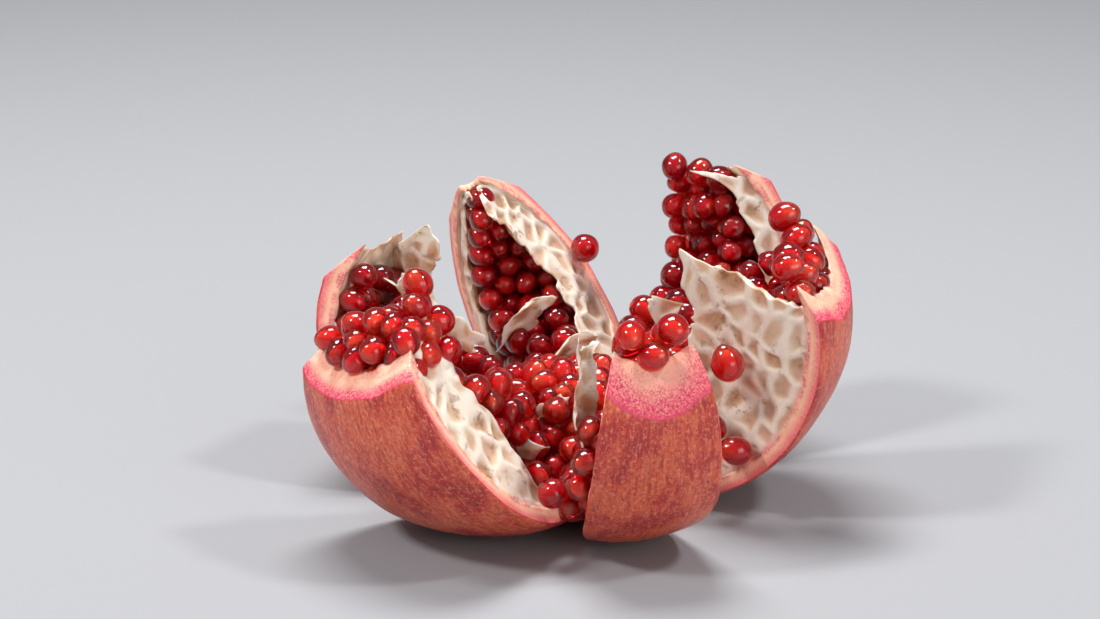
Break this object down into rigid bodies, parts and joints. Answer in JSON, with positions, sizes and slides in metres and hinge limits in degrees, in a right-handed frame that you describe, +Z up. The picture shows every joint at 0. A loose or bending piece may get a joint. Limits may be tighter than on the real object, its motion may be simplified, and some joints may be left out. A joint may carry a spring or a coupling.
{
  "type": "open pomegranate",
  "caption": "Ripe pomegranate scored and opened like a flower: leathery rind segments with cream pith and membranes, joined at the stem end, filled with shiny red arils.",
  "frame": {"origin": "on the floor, under the middle of the box round the open fruit", "axes": "+Z up, along the axis of the fruit from its stem end; the two segments that the front notch parts look towards -Y, the segment with the wide bare membrane lies towards +X"},
  "size_m": [0.1246, 0.1246, 0.0794],
  "materials": {
    "rind": "waxy brick-red skin outside, cream and pink pith and papery membranes inside",
    "aril": "translucent wet deep red, glossy"
  },
  "bodies": {
    "root": {"husk": "rind", "arils_front_left": "aril", "arils_front": "aril", "arils_right": "aril", "arils_back_right": "aril", "arils_back_left": "aril", "arils_left": "aril", "arils_centre": "aril", "aril_on_membrane": "aril", "aril_right_foot": "aril", "aril_right_heel": "aril", "aril_front_left_foot": "aril", "aril_back": "aril", "aril_mound_left": "aril", "aril_mound_right": "aril", "aril_mound_front": "aril", "aril_mound_back": "aril"}
  },
  "joints": []
}
